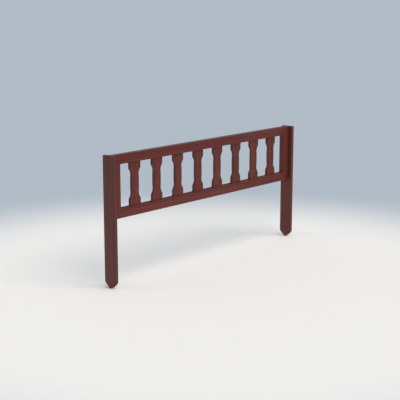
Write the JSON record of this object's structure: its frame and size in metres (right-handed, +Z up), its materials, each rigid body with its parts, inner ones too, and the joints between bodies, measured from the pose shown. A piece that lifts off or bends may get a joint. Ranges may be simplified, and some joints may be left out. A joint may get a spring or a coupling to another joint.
{
  "type": "low wooden garden fence bay",
  "caption": "Low timber fence bay: mitred rail and stile frame with shaped flat balusters, held between pointed post boards.",
  "frame": {"origin": "on the outer broad face of the left post, on the board's centre line and at ground level", "axes": "+X along the fence towards the right post, +Y across the fence, +Z up"},
  "size_m": [1.85, 0.095, 0.84],
  "materials": {
    "post_timber": "satin mahogany stain",
    "frame_timber": "satin mahogany stain",
    "baluster_timber": "satin mahogany stain"
  },
  "bodies": {
    "root": {"left_post": "post_timber", "right_post": "post_timber", "left_stile": "frame_timber", "right_stile": "frame_timber", "bottom_rail": "frame_timber", "top_rail": "frame_timber", "baluster_1": "baluster_timber", "baluster_2": "baluster_timber", "baluster_3": "baluster_timber", "baluster_4": "baluster_timber", "baluster_5": "baluster_timber", "baluster_6": "baluster_timber", "baluster_7": "baluster_timber", "baluster_8": "baluster_timber"}
  },
  "joints": []
}
